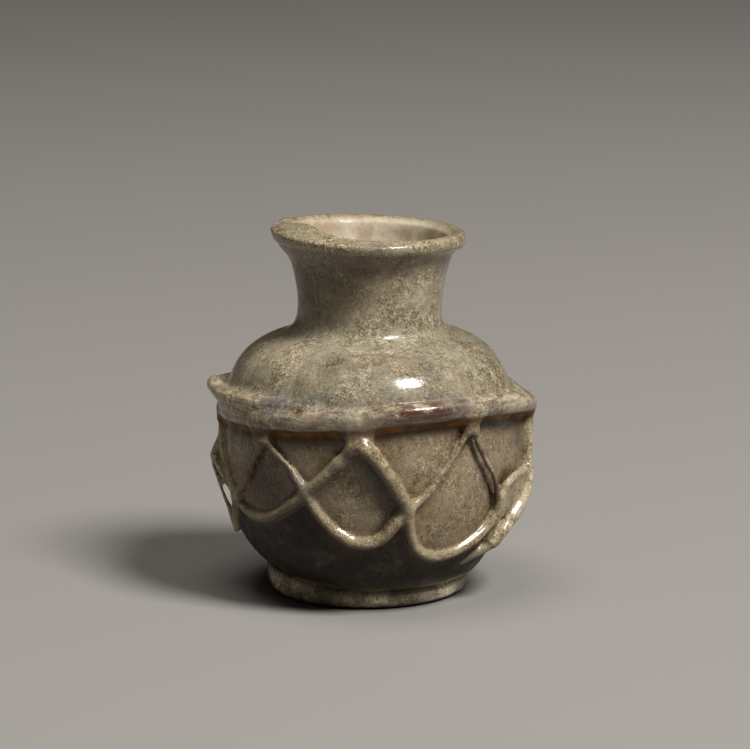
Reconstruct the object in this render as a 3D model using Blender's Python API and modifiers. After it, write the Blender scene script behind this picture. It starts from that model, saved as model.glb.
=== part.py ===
"""A small blown glass bottle with a folded rim and hot trailed threads, as one hollow solid.

Units are metres and +Z is up. The front looks along -Y. Azimuths are in degrees, 0 at the front
and growing towards +X. The origin is on the surface that the bottle stands on, under the middle
of its box.
"""

import math

import bmesh
import bpy
import numpy as np

# Blown body, from the foot up
FOOT_RADIUS = 0.0195            # widest part of the foot pad
FOOT_HEIGHT = 0.0042            # top edge of the foot pad
FOOT_BEVEL = 0.0014             # how far the pad draws in towards the surface it stands on
STAND_WIDTH = 0.0036            # flat ring that the bottle stands on
FOOT_HOLLOW = 0.0012            # height of the hollow under the pad
GROOVE = 0.0006                 # how far the groove above the pad is cut back from its edge
BELLY_RADIUS = 0.0278
BELLY_HEIGHT = 0.0295           # the widest level
DOME_HEIGHT = 0.0520            # where the curve of the shoulder would close without a neck
NECK_RADIUS = 0.0136
NECK_HEIGHT = 0.0540            # the narrowest level
SHOULDER_BLEND = 0.0034         # how far outside the neck its soft foot begins
HEIGHT = 0.0700                 # mean height of the rim
RIM_RADIUS = 0.0185
BODY_WALL = 0.0021
NECK_WALL = 0.0018
FLOOR = 0.0048                  # inside floor above the standing surface
FLOOR_RISE = 0.0009             # the floor's push up in the middle

# How full the curves are: 2 is an ellipse, more is squarer
BELLY_FULLNESS = 2.05
DOME_FULLNESS = 3.2
NECK_FLARE = 1.9
UNDERCUT = 0.0020               # how far inside the foot's edge the belly would close
BLEND_CORNER = 0.75             # share of the neck's soft foot where its curve turns

# Inside floor from its edge to the middle: shares of its radius and of its rise
FLOOR_LINE = ((0.8, 0.0), (0.4, 0.7), (0.0, 1.0))

# Edge of the foot pad down from the groove: shares of the cut or bevel left, and of the height
PAD_TOP = (0.5, 0.94)
PAD_WIDEST = 0.72
PAD_TURN = (0.3, 0.3)

# Hollow under the pad from its edge to the middle: shares of its radius and of its height
HOLLOW_LINE = ((0.88, 0.6), (0.6, 1.0), (0.0, 1.0))

# Folded rim: azimuth, rise of its top above HEIGHT, width towards the axis, height of the band
RIM = (
    (-90, 0.0007, 0.0052, 0.0028),
    (-60, 0.0009, 0.0060, 0.0026),
    (-35, 0.0007, 0.0046, 0.0025),
    (0, 0.0001, 0.0030, 0.0023),
    (45, -0.0004, 0.0027, 0.0026),
    (90, -0.0006, 0.0026, 0.0028),
    (135, -0.0006, 0.0026, 0.0028),
    (180, -0.0002, 0.0027, 0.0027),
    (215, 0.0005, 0.0032, 0.0028),
    (245, 0.0009, 0.0039, 0.0029),
)

# Thick trail round the shoulder: azimuth, height, reach out of the wall, height of its section
SHELF = (
    (-90, 0.0358, 0.0011, 0.0040),
    (-60, 0.0370, 0.0016, 0.0039),
    (-26, 0.0382, 0.0022, 0.0037),
    (-6, 0.0390, 0.0026, 0.0040),
    (20, 0.0397, 0.0027, 0.0038),
    (47, 0.0394, 0.0032, 0.0041),
    (70, 0.0381, 0.0040, 0.0040),
    (90, 0.0365, 0.0044, 0.0039),
    (130, 0.0357, 0.0036, 0.0040),
    (180, 0.0356, 0.0026, 0.0040),
    (230, 0.0356, 0.0016, 0.0040),
)
SHELF_BITE = 0.0009             # how deep the trail is sunk in the wall

# Tail of the same trail, laid over its start: azimuth, height, stand-off from the wall, weight
TAIL = (
    (-285, 0.0386, 0.0002, 0.60),
    (-260, 0.0384, 0.0009, 0.85),
    (-215, 0.0383, 0.0008, 0.92),
    (-150, 0.0382, 0.0009, 0.92),
    (-112, 0.0383, 0.0013, 1.00),
    (-90, 0.0394, 0.0021, 1.20),
    (-70, 0.0394, 0.0010, 1.08),
    (-46, 0.0400, 0.0004, 0.92),
    (-22, 0.0402, -0.0006, 0.55),
)
TAIL_RADIUS = 0.0013

# Zigzag threads, one row for each of the eight bays: azimuths of the top, of the bottom loop
# and of the crossing to its right; heights of loop and crossing as shares of the way from the
# foot up to the shoulder trail; the crossing's stand-off from the wall; how far the top hangs
# under the middle of the trail; weight of the top
BAYS = (
    (-81, -76, -60, 0.35, 0.49, 0.0004, 0.0026, 1.0),
    (-43, -45, -24, 0.43, 0.59, 0.0004, 0.0036, 0.8),
    (-5, -4, 13.5, 0.34, 0.51, 0.0004, 0.0046, 1.6),
    (40, 25, 62, 0.23, 0.48, 0.0006, 0.0042, 0.7),
    (86, 78, 96, 0.15, 0.55, 0.0024, 0.0020, 1.0),
    (132, 122, 153, 0.30, 0.56, 0.0008, 0.0034, 1.1),
    (178, 174, 203, 0.34, 0.60, 0.0005, 0.0038, 1.0),
    (230, 229, 260, 0.30, 0.63, 0.0019, 0.0030, 0.9),
)
THREAD_RADIUS = 0.00095
LOOP_WEIGHT = 1.2               # the loops are this much thicker than the crossings
LOOP_OFFSET = 0.0004            # stand-off of the loops' centre line from the wall
TOP_SHARE = 0.6                 # the tops stand off the wall by this share of the trail's reach
STEM_WEIGHT = 1.3               # short stems carry the tops, thicker than the threads

# Lean of the hand-made body: height and sideways shift of its axis
LEAN = ((0.000, -0.00035), (0.010, 0.0), (0.050, 0.00025), (0.070, 0.0))

# Fineness of the solid
TURN_STEPS = 36
OUTSIDE_STEPS = 7
INSIDE_STEPS = 5
RING_STEPS = 4
RING_SIDES = 8
THREAD_STEPS = 4


def smooth_curve(stations, steps, closed):
    """Points on a smooth curve through the stations, whose rows hold any number of values.

    A closed curve comes round to its first station after a full turn of azimuth.
    """
    rows = [np.array(row, float) for row in stations]
    turn = np.zeros(len(rows[0]))
    turn[0] = 360.0
    if closed:
        rows = [rows[-1] - turn] + rows + [rows[0] + turn, rows[1] + turn]
    else:
        rows = [2 * rows[0] - rows[1]] + rows + [2 * rows[-1] - rows[-2]]
    points = []
    for a, b, c, d in zip(rows, rows[1:], rows[2:], rows[3:]):
        for step in range(steps):
            t = step / steps
            curl = 2 * a - 5 * b + 4 * c - d + t * (3 * (b - c) + d - a)
            points.append(b + 0.5 * t * (c - a + t * curl))
    if not closed:
        points.append(rows[-2])
    return np.array(points)


def read_ring(ring, azimuth, column):
    """Value in one column of a closed curve's points, at an azimuth."""
    return float(np.interp(azimuth, ring[:, 0], ring[:, column], period=360.0))


def rounded(share, fullness):
    """Height of a full curve over a share of its length, 1 at the start and 0 at the end."""
    return (1.0 - min(1.0, share) ** fullness) ** (1.0 / fullness)


def wall_radius(height):
    """Outer radius of the blown wall between the foot and the neck."""
    if height > BELLY_HEIGHT:
        share = (height - BELLY_HEIGHT) / (DOME_HEIGHT - BELLY_HEIGHT)
        return BELLY_RADIUS * rounded(share, DOME_FULLNESS)
    share = (BELLY_HEIGHT - height) / (BELLY_HEIGHT - FOOT_HEIGHT)
    closing = FOOT_RADIUS - UNDERCUT
    return closing + (BELLY_RADIUS - closing) * rounded(share, BELLY_FULLNESS)


def neck_line(inset, steps):
    """Points (radius, height) down the neck, from inside the rim's band to its narrowest level."""
    top = HEIGHT - RIM[0][3] / 2
    points = []
    for step in range(steps):
        height = top + (NECK_HEIGHT - top) * step / steps
        share = (height - NECK_HEIGHT) / (HEIGHT - NECK_HEIGHT)
        points.append((NECK_RADIUS - inset + (RIM_RADIUS - NECK_RADIUS) * share ** NECK_FLARE, height))
    return points


def shoulder_line(neck_inset, wall_inset, steps):
    """Points down the soft foot of the neck and the dome of the shoulder to the belly."""
    belly = BELLY_RADIUS - wall_inset
    rise = DOME_HEIGHT - wall_inset - BELLY_HEIGHT
    neck = NECK_RADIUS - neck_inset
    start = neck + SHOULDER_BLEND
    dome_end = math.acos((start / belly) ** (DOME_FULLNESS / 2))
    dome = []
    for step in range(steps + 1):
        angle = dome_end * (1 - step / steps)
        radius = belly * math.cos(angle) ** (2 / DOME_FULLNESS)
        dome.append((radius, BELLY_HEIGHT + rise * math.sin(angle) ** (2 / DOME_FULLNESS)))
    slope = (dome[0][1] - dome[1][1]) / (dome[1][0] - dome[0][0])
    corner = dome[0][1] + slope * SHOULDER_BLEND * BLEND_CORNER
    points = []
    for step in range(steps // 2):
        t = step / (steps // 2)
        radius = (1 - t) ** 2 * neck + 2 * t * (1 - t) * neck + t ** 2 * start
        height = (1 - t) ** 2 * NECK_HEIGHT + 2 * t * (1 - t) * corner + t ** 2 * dome[0][1]
        points.append((radius, height))
    return points + dome


def belly_line(wall_inset, closing, end_radius, end_height, steps):
    """Points down from just under the widest level to where the belly reaches its end radius."""
    reach = BELLY_RADIUS - wall_inset - closing
    end_angle = math.acos(((end_radius - closing) / reach) ** (BELLY_FULLNESS / 2))
    points = []
    for step in range(1, steps + 1):
        angle = end_angle * step / steps
        radius = closing + reach * math.cos(angle) ** (2 / BELLY_FULLNESS)
        drop = (BELLY_HEIGHT - end_height) * math.sin(angle) ** (2 / BELLY_FULLNESS)
        points.append((radius, BELLY_HEIGHT - drop))
    return points


def body_profile():
    """The turned profile: up the inside, over the lip, down the outside and under the foot."""
    inner_closing = FOOT_RADIUS - UNDERCUT - BODY_WALL
    corner = inner_closing + BODY_WALL / 2
    inside = neck_line(NECK_WALL, INSIDE_STEPS) + shoulder_line(NECK_WALL, BODY_WALL, INSIDE_STEPS)
    inside += belly_line(BODY_WALL, inner_closing, corner, FLOOR, INSIDE_STEPS)
    inside += [(inner_closing * reach, FLOOR + FLOOR_RISE * rise) for reach, rise in FLOOR_LINE]
    closing = FOOT_RADIUS - UNDERCUT
    outside = neck_line(0.0, OUTSIDE_STEPS) + shoulder_line(0.0, 0.0, OUTSIDE_STEPS)
    outside += belly_line(0.0, closing, FOOT_RADIUS - GROOVE, FOOT_HEIGHT, OUTSIDE_STEPS)
    hollow = FOOT_RADIUS - FOOT_BEVEL - STAND_WIDTH
    outside += [
        (FOOT_RADIUS - GROOVE * PAD_TOP[0], FOOT_HEIGHT * PAD_TOP[1]),
        (FOOT_RADIUS, FOOT_HEIGHT * PAD_WIDEST),
        (FOOT_RADIUS - FOOT_BEVEL * PAD_TURN[0], FOOT_HEIGHT * PAD_TURN[1]),
        (FOOT_RADIUS - FOOT_BEVEL, 0.0),
        (hollow, 0.0),
    ]
    outside += [(hollow * reach, FOOT_HOLLOW * rise) for reach, rise in HOLLOW_LINE]
    return inside[::-1] + outside


def link(obj, collection):
    """Put a new object in the collection."""
    collection.objects.link(obj)
    return obj


def evaluated_mesh(obj):
    """The mesh that an object shows with its modifiers or bevel."""
    depsgraph = bpy.context.evaluated_depsgraph_get()
    return bpy.data.meshes.new_from_object(obj.evaluated_get(depsgraph))


def turned_body(collection):
    """The hollow body, a profile turned round the axis."""
    mesh = bpy.data.meshes.new("body_profile")
    profile = body_profile()
    points = [(radius, 0.0, height) for radius, height in profile]
    edges = [(i, i + 1) for i in range(len(points) - 1)]
    mesh.from_pydata(points, edges, [])
    body = link(bpy.data.objects.new("body", mesh), collection)
    screw = body.modifiers.new("Turn", "SCREW")
    screw.axis = "Z"
    screw.steps = TURN_STEPS
    screw.render_steps = TURN_STEPS
    screw.use_merge_vertices = True
    screw.merge_threshold = 0.00001
    body.data = evaluated_mesh(body)
    body.modifiers.clear()
    for vertex in body.data.vertices:
        radius = math.hypot(vertex.co.x, vertex.co.y)
        azimuth = math.degrees(math.atan2(vertex.co.x, -vertex.co.y))
        share = max(0.0, (vertex.co.z - NECK_HEIGHT) / (HEIGHT - NECK_HEIGHT))
        if radius > 0.0:
            vertex.co.z += read_ring(RIM_RING, azimuth, 1) * share
    return body


def lofted_ring(name, sections, collection):
    """A closed ring of oval sections: azimuth, centre radius, centre height, width and height."""
    bm = bmesh.new()
    loops = []
    for azimuth, radius, height, width, depth in sections:
        turn = math.radians(azimuth)
        loop = []
        for side in range(RING_SIDES):
            angle = 2 * math.pi * (side + 0.5) / RING_SIDES
            reach = radius + width / 2 * math.cos(angle)
            level = height + depth / 2 * math.sin(angle)
            loop.append(bm.verts.new((reach * math.sin(turn), -reach * math.cos(turn), level)))
        loops.append(loop)
    for near, far in zip(loops, loops[1:] + loops[:1]):
        for side in range(RING_SIDES):
            after = (side + 1) % RING_SIDES
            bm.faces.new((near[side], far[side], far[after], near[after]))
    bmesh.ops.recalc_face_normals(bm, faces=bm.faces)
    mesh = bpy.data.meshes.new(name)
    bm.to_mesh(mesh)
    bm.free()
    return link(bpy.data.objects.new(name, mesh), collection)


def rim_band(collection):
    """The folded rim, thicker and higher on the left."""
    sections = []
    for azimuth, rise, width, band in RIM_RING:
        sections.append((azimuth, RIM_RADIUS - width / 2, HEIGHT + rise - band / 2, width, band))
    return lofted_ring("rim_band", sections, collection)


def shoulder_shelf(collection):
    """The thick trail round the shoulder, which stands out most on the right."""
    sections = []
    for azimuth, height, reach, depth in SHELF_RING:
        radius = wall_radius(height) + (reach - SHELF_BITE) / 2
        sections.append((azimuth, radius, height, reach + SHELF_BITE, depth))
    return lofted_ring("shoulder_shelf", sections, collection)


def glass_thread(name, points, radius, closed, collection):
    """A round thread through points of azimuth, height, stand-off and weight."""
    curve = bpy.data.curves.new(name, "CURVE")
    curve.dimensions = "3D"
    curve.bevel_depth = radius
    curve.bevel_resolution = 2
    curve.use_fill_caps = True
    spline = curve.splines.new("POLY")
    spline.points.add(len(points) - 1)
    spline.use_cyclic_u = closed
    for point, (azimuth, height, offset, weight) in zip(spline.points, points):
        turn = math.radians(azimuth)
        reach = wall_radius(height) + offset
        point.co = (reach * math.sin(turn), -reach * math.cos(turn), height, 1.0)
        point.radius = weight
    guide = link(bpy.data.objects.new(name + "_guide", curve), collection)
    thread = bpy.data.objects.new(name, evaluated_mesh(guide))
    thread.matrix_world = guide.matrix_world
    bm = bmesh.new()
    bm.from_mesh(thread.data)
    bmesh.ops.remove_doubles(bm, verts=bm.verts, dist=0.000001)
    bm.to_mesh(thread.data)
    bm.free()
    bpy.data.objects.remove(guide)
    return link(thread, collection)


def thread_stations(first_bay):
    """Stations of one zigzag: a top, a crossing, a loop and a crossing, through all the bays."""
    stations = []
    for number, bay in enumerate(BAYS):
        top_turn, loop_turn, cross_turn, loop_share, cross_share, cross_offset, drop, weight = bay
        if (number + first_bay) % 2 == 0:
            stations.append(top_station(top_turn, drop, weight))
        else:
            level = thread_level(loop_turn, loop_share)
            stations.append((loop_turn, level, LOOP_OFFSET, LOOP_WEIGHT))
        stations.append((cross_turn, thread_level(cross_turn, cross_share), cross_offset, 1.0))
    return stations


def top_station(azimuth, drop, weight):
    """A place under the shoulder trail, hanging below its middle."""
    level = read_ring(SHELF_RING, azimuth, 1) - drop
    return (azimuth, level, TOP_SHARE * read_ring(SHELF_RING, azimuth, 2), weight)


def thread_level(azimuth, share):
    """Height at a share of the way from the foot up to the shoulder trail."""
    return FOOT_HEIGHT + share * (read_ring(SHELF_RING, azimuth, 1) - FOOT_HEIGHT)


def fuse(body, pieces):
    """Melt the pieces into the body."""
    for piece in pieces:
        union = body.modifiers.new("Fuse " + piece.name, "BOOLEAN")
        union.operation = "UNION"
        union.solver = "EXACT"
        union.object = piece
    body.data = evaluated_mesh(body)
    body.modifiers.clear()
    for piece in pieces:
        bpy.data.objects.remove(piece)


def signed_volume(shell):
    """Volume inside a closed shell of faces, negative where the shell lines a pocket of air."""
    total = 0.0
    for face in shell:
        corner = face.verts[0].co
        for left, right in zip(face.verts[1:], face.verts[2:]):
            total += corner.dot(left.co.cross(right.co)) / 6
    return total


def fill_air_pockets(mesh):
    """Fill the closed pockets that the laid-on trails trap against the wall."""
    bm = bmesh.new()
    bm.from_mesh(mesh)
    unseen = set(bm.faces)
    pockets = []
    while unseen:
        queue = [unseen.pop()]
        shell = []
        while queue:
            face = queue.pop()
            shell.append(face)
            for edge in face.edges:
                for other in edge.link_faces:
                    if other in unseen:
                        unseen.remove(other)
                        queue.append(other)
        if signed_volume(shell) < 0.0:
            pockets += shell
    bmesh.ops.delete(bm, geom=pockets, context="FACES")
    bm.to_mesh(mesh)
    bm.free()


def lean_and_centre(mesh):
    """Give the axis its lean, then put the middle of the box over the origin."""
    heights = [height for height, _ in LEAN]
    shifts = [shift for _, shift in LEAN]
    for vertex in mesh.vertices:
        vertex.co.x += float(np.interp(vertex.co.z, heights, shifts))
    for axis in (0, 1):
        values = [vertex.co[axis] for vertex in mesh.vertices]
        middle = (min(values) + max(values)) / 2
        for vertex in mesh.vertices:
            vertex.co[axis] -= middle


def crusted_glass():
    """Amber glass under a dull olive crust."""
    material = bpy.data.materials.new("weathered_glass")
    material.use_nodes = True
    shader = material.node_tree.nodes["Principled BSDF"]
    shader.inputs["Base Color"].default_value = (0.23, 0.19, 0.13, 1.0)
    shader.inputs["Roughness"].default_value = 0.35
    shader.inputs["Metallic"].default_value = 0.0
    return material


def build():
    """Make the bottle from its blown body, its folded rim and the hot glass laid on it."""
    for obj in list(bpy.data.objects):
        bpy.data.objects.remove(obj)
    collection = bpy.data.collections.new("glass_bottle")
    bpy.context.scene.collection.children.link(collection)
    bottle = turned_body(collection)
    bottle.name = "bottle"
    pieces = [rim_band(collection), shoulder_shelf(collection)]
    tail = smooth_curve(TAIL, THREAD_STEPS, False)
    pieces.append(glass_thread("tail", tail, TAIL_RADIUS, False, collection))
    for first_bay in (0, 1):
        name = "thread_" + str(first_bay + 1)
        zigzag = smooth_curve(thread_stations(first_bay), THREAD_STEPS, True)
        pieces.append(glass_thread(name, zigzag, THREAD_RADIUS, True, collection))
    for number, bay in enumerate(BAYS):
        stem = [top_station(bay[0], drop, STEM_WEIGHT * bay[7]) for drop in (0.0, bay[6])]
        name = "stem_" + str(number + 1)
        pieces.append(glass_thread(name, stem, THREAD_RADIUS, False, collection))
    fuse(bottle, pieces)
    fill_air_pockets(bottle.data)
    lean_and_centre(bottle.data)
    bottle.data.name = "bottle"
    bottle.data.materials.clear()
    bottle.data.materials.append(crusted_glass())
    bottle.data.shade_smooth()
    bottle.data.set_sharp_from_angle(angle=math.radians(40))


RIM_RING = smooth_curve(RIM, RING_STEPS, True)
SHELF_RING = smooth_curve(SHELF, RING_STEPS, True)
build()
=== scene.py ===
# %% [markdown]
# # A small Roman glass bottle, seen as it came out of the ground
#
# The real bottle was blown from amber glass, and while it was hot the glassworker folded its rim,
# pressed on a foot, wound a thick trail round the shoulder and let thinner threads down in zigzags.
# Burial then covered it with a dull olive-beige crust, so little of the amber still shows.
#
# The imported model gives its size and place. This script makes a finer skin of the same form, in
# which the threads melt into the wall, and gives it its weathered finish.

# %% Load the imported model
import math

import bpy
import numpy as np
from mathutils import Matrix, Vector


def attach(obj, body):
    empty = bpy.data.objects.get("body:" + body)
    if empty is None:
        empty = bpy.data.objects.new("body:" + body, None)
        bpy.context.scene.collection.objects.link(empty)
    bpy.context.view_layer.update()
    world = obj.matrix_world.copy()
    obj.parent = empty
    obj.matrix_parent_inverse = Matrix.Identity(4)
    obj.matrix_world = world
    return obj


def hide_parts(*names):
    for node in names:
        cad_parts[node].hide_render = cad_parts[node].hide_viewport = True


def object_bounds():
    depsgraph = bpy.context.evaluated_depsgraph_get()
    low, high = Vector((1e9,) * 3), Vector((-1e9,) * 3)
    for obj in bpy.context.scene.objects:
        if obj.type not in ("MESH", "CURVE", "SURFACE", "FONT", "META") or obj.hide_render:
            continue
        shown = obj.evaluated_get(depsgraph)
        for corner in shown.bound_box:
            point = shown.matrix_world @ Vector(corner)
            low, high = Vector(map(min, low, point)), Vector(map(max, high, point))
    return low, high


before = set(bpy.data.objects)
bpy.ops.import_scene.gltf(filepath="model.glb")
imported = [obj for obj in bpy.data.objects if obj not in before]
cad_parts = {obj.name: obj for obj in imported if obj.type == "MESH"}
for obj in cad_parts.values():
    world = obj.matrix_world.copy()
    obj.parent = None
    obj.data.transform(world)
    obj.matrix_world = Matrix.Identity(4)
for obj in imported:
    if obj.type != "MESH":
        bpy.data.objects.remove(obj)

import openvdb

SOLID_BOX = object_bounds()
MM = 0.001
print("solid box, mm:", [round(value / MM, 2) for corner in SOLID_BOX for value in corner])

# %% [markdown]
# ## Where the bottle's axis stands
#
# A hand-blown bottle leans a little, so the middle of its box isn't its axis. The flat ring that
# it stands on is round, and the middle of that ring gives the axis at the bottom. The lean is a
# short table of height and sideways shift, and everything else is laid out round that axis.

# %% Axis and lean
ring = [v.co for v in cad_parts["bottle"].data.vertices if v.co.z < 0.1 * MM]
# height, shift to the right
LEAN = np.array([
    [0.0, -0.35], [10.0, 0.0], [50.0, 0.25], [57.0, 0.5], [64.0, 0.35], [70.0, 0.0],
]) * MM
AXIS_X = (min(co.x for co in ring) + max(co.x for co in ring)) / 2 - LEAN[0, 1]
AXIS_Y = (min(co.y for co in ring) + max(co.y for co in ring)) / 2
print("axis at, mm:", round(AXIS_X / MM, 2), round(AXIS_Y / MM, 2))

# %% [markdown]
# ## The camera
#
# The photograph looks down on the bottle by about eleven degrees, through a long lens, so the rim
# shows as a flat oval and the sides hardly taper. Everything is judged through this camera, so it
# comes first. Its distance and angle were found by laying the model's outline over the photograph.

# %% Camera
VIEW_ANGLE = math.radians(11.5)
ELEVATION = math.radians(11.4)
DISTANCE = 714.56 * MM
TARGET = (AXIS_X + 1.345 * MM, AXIS_Y, 41.65 * MM)

lens = bpy.data.cameras.new("camera")
lens.sensor_width = 36.0
lens.lens = lens.sensor_width / 2 / math.tan(VIEW_ANGLE / 2)
lens.clip_start = 0.01
camera = bpy.data.objects.new("camera", lens)
camera.location = (
    TARGET[0],
    TARGET[1] - DISTANCE * math.cos(ELEVATION),
    TARGET[2] + DISTANCE * math.sin(ELEVATION),
)
camera.rotation_euler = (math.pi / 2 - ELEVATION, 0.0, 0.0)
bpy.context.scene.collection.objects.link(camera)
bpy.context.scene.camera = camera
print("lens, mm:", round(lens.lens, 1))

# %% [markdown]
# ## A block of samples instead of a mesh
#
# Glass threads laid on a hot wall don't stop at a sharp line: they sink in and a small hollow
# curve of glass joins the two. Booleans leave a hard crease there, and bevels on such a net of
# crossings fail easily.
#
# So the bottle is first worked out as a distance field: a block of points that each hold how far
# they are from the glass, negative inside it. Two fields melt together with one line of
# arithmetic, and a skin is drawn through the zeros at the end.

# %% The block of samples
SAMPLE = 0.34 * MM
MARGIN = 1.4 * MM
low = np.array(SOLID_BOX[0]) - MARGIN
size = np.ceil((np.array(SOLID_BOX[1]) + MARGIN - low) / SAMPLE).astype(int)
block_x, block_y, block_z = [
    (low[i] + SAMPLE * np.arange(size[i])).astype(np.float32) for i in range(3)
]
print("samples:", size, "in all", round(float(np.prod(size)) / 1e6, 1), "million")


# %% Helpers for shapes
def melt(a, b, softness):
    """The nearer of two distances, with a hollow curve of about that size where they meet."""
    overlap = np.maximum(softness - np.abs(a - b), 0.0) / softness
    return np.minimum(a, b) - overlap * overlap * softness / 4


def smooth_curve(stations, steps, closed):
    """Points on a smooth curve through the stations. A closed one gains 360 degrees of azimuth."""
    rows = [np.array(row, float) for row in stations]
    turn = np.zeros(len(rows[0]))
    turn[0] = 360.0
    if closed:
        rows = [rows[-1] - turn] + rows + [rows[0] + turn, rows[1] + turn]
    else:
        rows = [2 * rows[0] - rows[1]] + rows + [2 * rows[-1] - rows[-2]]
    points = []
    for a, b, c, d in zip(rows, rows[1:], rows[2:], rows[3:]):
        for step in range(steps):
            t = step / steps
            curl = 2 * a - 5 * b + 4 * c - d + t * (3 * (b - c) + d - a)
            points.append(b + 0.5 * t * (c - a + t * curl))
    if not closed:
        points.append(rows[-2])
    return np.array(points)


def on_ring(ring_points, azimuth, column):
    """Values in one column of a closed curve's points, at any azimuths."""
    return np.interp(azimuth, ring_points[:, 0], ring_points[:, column], period=360.0)


# %% [markdown]
# ## The blown wall
#
# The wall is turned from one line: a flaring neck, a soft bend on to a square-shouldered dome, a
# full belly and a small pad of a foot. The curves are superellipses, because a blown bubble that
# was rolled on a flat slab is fuller than an ellipse. Sizes are in millimetres.

# %% Sizes of the wall
FOOT_RADIUS = 19.5 * MM
FOOT_HEIGHT = 4.2 * MM
FOOT_BEVEL = 1.4 * MM
STAND_WIDTH = 3.6 * MM
FOOT_HOLLOW = 1.2 * MM
GROOVE = 0.9 * MM
BELLY_RADIUS = 27.8 * MM
BELLY_HEIGHT = 29.5 * MM
DOME_HEIGHT = 51.3 * MM
NECK_RADIUS = 13.75 * MM
NECK_HEIGHT = 55.2 * MM
SHOULDER_BLEND = 3.2 * MM
HEIGHT = 70.0 * MM
RIM_RADIUS = 18.5 * MM
FLARE_RADIUS = 18.0 * MM
BODY_WALL = 2.1 * MM
NECK_WALL = 1.8 * MM
FLOOR = 4.8 * MM
FLOOR_RISE = 0.9 * MM
BELLY_FULLNESS = 2.05
DOME_FULLNESS = 3.4
NECK_FLARE = 1.9
UNDERCUT = 2.0 * MM
BLEND_CORNER = 0.75
NECK_STEPS, BEND_STEPS, CURVE_STEPS = 24, 14, 40


# %% The wall's line
def rounded(share, fullness):
    """Height of a full curve over a share of its length, 1 at the start and 0 at the end."""
    return (1.0 - min(1.0, share) ** fullness) ** (1.0 / fullness)


def wall_radius(height):
    """Outer radius of the blown wall between the foot and the neck."""
    if height > BELLY_HEIGHT:
        share = (height - BELLY_HEIGHT) / (DOME_HEIGHT - BELLY_HEIGHT)
        return BELLY_RADIUS * rounded(share, DOME_FULLNESS)
    share = (BELLY_HEIGHT - height) / (BELLY_HEIGHT - FOOT_HEIGHT)
    closing = FOOT_RADIUS - UNDERCUT
    return closing + (BELLY_RADIUS - closing) * rounded(share, BELLY_FULLNESS)


def wall_line(neck_inset, wall_inset, closing, end_radius, end_height, top):
    """Points (radius, height) from the top of the neck down to the end of the belly."""
    points = []
    for step in range(NECK_STEPS):
        height = top + (NECK_HEIGHT - top) * step / NECK_STEPS
        share = (height - NECK_HEIGHT) / (HEIGHT - NECK_HEIGHT)
        flare = (FLARE_RADIUS - NECK_RADIUS) * share ** NECK_FLARE
        points.append((NECK_RADIUS - neck_inset + flare, height))
    belly = BELLY_RADIUS - wall_inset
    rise = DOME_HEIGHT - wall_inset - BELLY_HEIGHT
    neck = NECK_RADIUS - neck_inset
    start = neck + SHOULDER_BLEND
    dome_end = math.acos((start / belly) ** (DOME_FULLNESS / 2))
    dome = []
    for step in range(CURVE_STEPS + 1):
        angle = dome_end * (1 - step / CURVE_STEPS)
        radius = belly * math.cos(angle) ** (2 / DOME_FULLNESS)
        dome.append((radius, BELLY_HEIGHT + rise * math.sin(angle) ** (2 / DOME_FULLNESS)))
    slope = (dome[0][1] - dome[1][1]) / (dome[1][0] - dome[0][0])
    corner = dome[0][1] + slope * SHOULDER_BLEND * BLEND_CORNER
    for step in range(BEND_STEPS):
        t = step / BEND_STEPS
        radius = (1 - t * t) * neck + t * t * start
        height = (1 - t) ** 2 * NECK_HEIGHT + 2 * t * (1 - t) * corner + t * t * dome[0][1]
        points.append((radius, height))
    points += dome
    reach = belly - closing
    end_angle = math.acos(((end_radius - closing) / reach) ** (BELLY_FULLNESS / 2))
    for step in range(1, CURVE_STEPS + 1):
        angle = end_angle * step / CURVE_STEPS
        radius = closing + reach * math.cos(angle) ** (2 / BELLY_FULLNESS)
        drop = (BELLY_HEIGHT - end_height) * math.sin(angle) ** (2 / BELLY_FULLNESS)
        points.append((radius, BELLY_HEIGHT - drop))
    return points


heights = (10, 20, 30, 40, 50)
print("wall's radius, mm:", [round(wall_radius(h * MM) / MM, 1) for h in heights], "at", heights)


# %% [markdown]
# The outline of the glass and the outline of the hollow are two closed lines in a half plane of
# radius and height. The distance to each is worked out once on a fine flat grid and then looked
# up for every sample of the block, which is far quicker than measuring to the line a few million
# times. The edge that lies on the axis closes the outline but is no surface, so it isn't measured.

# %% Distances in the half plane
PLANE_STEP = 0.2 * MM
PLANE_RADIUS = 38.0 * MM
PLANE_BOTTOM, PLANE_TOP = -4.0 * MM, 78.0 * MM
plane_r, plane_z = np.meshgrid(
    np.arange(0.0, PLANE_RADIUS, PLANE_STEP),
    np.arange(PLANE_BOTTOM, PLANE_TOP, PLANE_STEP),
    indexing="ij",
)
print("half plane:", plane_r.shape)


def outline_distance(outline):
    """Signed distance to a closed outline over the half plane, negative inside."""
    distance = np.full(plane_r.shape, 1.0)
    inside = np.zeros(plane_r.shape, bool)
    for (r0, z0), (r1, z1) in zip(outline, outline[1:] + outline[:1]):
        if r0 > 0.0 or r1 > 0.0:
            squared_length = (r1 - r0) ** 2 + (z1 - z0) ** 2
            along = ((plane_r - r0) * (r1 - r0) + (plane_z - z0) * (z1 - z0)) / squared_length
            along = np.clip(along, 0.0, 1.0)
            gap = np.hypot(plane_r - r0 - along * (r1 - r0), plane_z - z0 - along * (z1 - z0))
            distance = np.minimum(distance, gap)
        if z0 != z1:
            crossed = (z0 > plane_z) != (z1 > plane_z)
            inside ^= crossed & (plane_r < r0 + (r1 - r0) * (plane_z - z0) / (z1 - z0))
    return np.where(inside, -distance, distance)


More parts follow.
